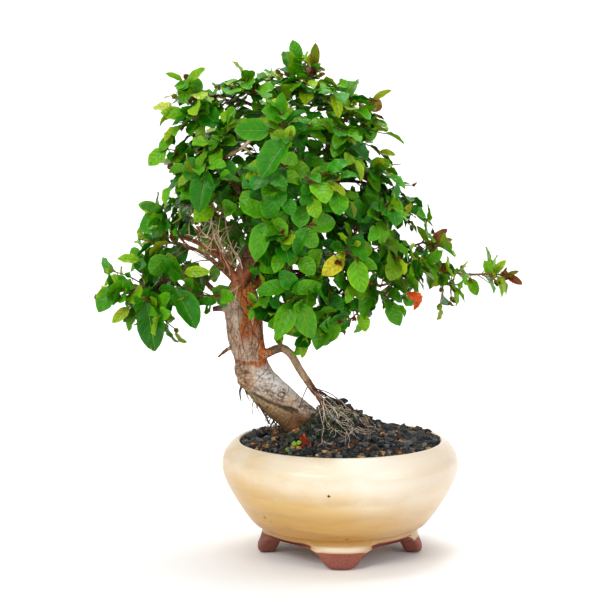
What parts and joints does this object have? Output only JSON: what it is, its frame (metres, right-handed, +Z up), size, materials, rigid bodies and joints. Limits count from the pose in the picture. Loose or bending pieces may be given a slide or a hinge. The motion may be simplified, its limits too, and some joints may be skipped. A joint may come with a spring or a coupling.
{
  "type": "potted bonsai tree",
  "caption": "Leafy chinese sweet plum bonsai with a leaning trunk and an arched aerial root, in a round cream bowl pot.",
  "frame": {"origin": "on the surface that the pot stands on, under the middle of the whole plant's outline", "axes": "+Z up along the tree, +X to the viewer's right in the picture, +Y away from the viewer"},
  "size_m": [0.3198, 0.2012, 0.3837],
  "materials": {
    "plum_bark": "rough, flaking grey-brown bark",
    "leaf_green": "satin green leaf",
    "leaf_deep": "satin deep green leaf",
    "leaf_young": "satin young green leaf",
    "leaf_yellow": "satin yellow leaf",
    "leaf_withered": "dry orange leaf",
    "leaf_fallen": "dry red-brown leaf",
    "seedling_green": "fresh green",
    "cream_glaze": "glossy cream glaze, bare red-brown clay on the feet",
    "dark_grit": "loose dark grit with tan grains and moss",
    "drain_net": "matt black net"
  },
  "bodies": {
    "root": {"drain_mesh": "drain_net", "fallen_leaf": "leaf_fallen", "pot": "cream_glaze", "seedling": "seedling_green", "soil": "dark_grit", "spray_back_high": "leaf_young", "spray_back_high_left": "leaf_green", "spray_back_high_right": "leaf_deep", "spray_back_left": "leaf_young", "spray_back_low": "leaf_deep", "spray_back_low_left": "leaf_green", "spray_back_low_right": "leaf_young", "spray_back_mid": "leaf_green", "spray_back_mid_right": "leaf_deep", "spray_back_right": "leaf_young", "spray_crest": "leaf_green", "spray_crest_bud": "leaf_deep", "spray_crown_left": "leaf_young", "spray_crown_right": "leaf_green", "spray_front_base": "leaf_deep", "spray_front_high": "leaf_green", "spray_front_high_left": "leaf_deep", "spray_front_high_right": "leaf_young", "spray_front_left": "leaf_green", "spray_front_low": "leaf_deep", "spray_front_low_far": "leaf_green", "spray_front_low_right": "leaf_young", "spray_front_mid": "leaf_deep", "spray_front_mid_right": "leaf_young", "spray_front_right": "leaf_green", "spray_left_back": "leaf_green", "spray_left_brow": "leaf_deep", "spray_left_cheek": "leaf_young", "spray_left_drop": "leaf_deep", "spray_left_high": "leaf_young", "spray_left_horn": "leaf_deep", "spray_left_inner": "leaf_young", "spray_left_low": "leaf_green", "spray_left_shoulder": "leaf_green", "spray_left_tip": "leaf_young", "spray_left_wing": "leaf_deep", "spray_left_wing_high": "leaf_green", "spray_long_shoot": "leaf_deep", "spray_low_drop": "leaf_deep", "spray_low_mid": "leaf_green", "spray_right_brow": "leaf_green", "spray_right_bud": "leaf_green", "spray_right_cheek": "leaf_deep", "spray_right_drop": "leaf_young", "spray_right_high": "leaf_young", "spray_right_horn": "leaf_deep", "spray_right_low": "leaf_deep", "spray_right_shoulder": "leaf_young", "spray_right_wing": "leaf_green", "spray_shoot_base": "leaf_young", "spray_trunk_side": "leaf_young", "tree_wood": "plum_bark", "withered_leaf": "leaf_withered", "yellow_leaf": "leaf_yellow"}
  },
  "joints": []
}
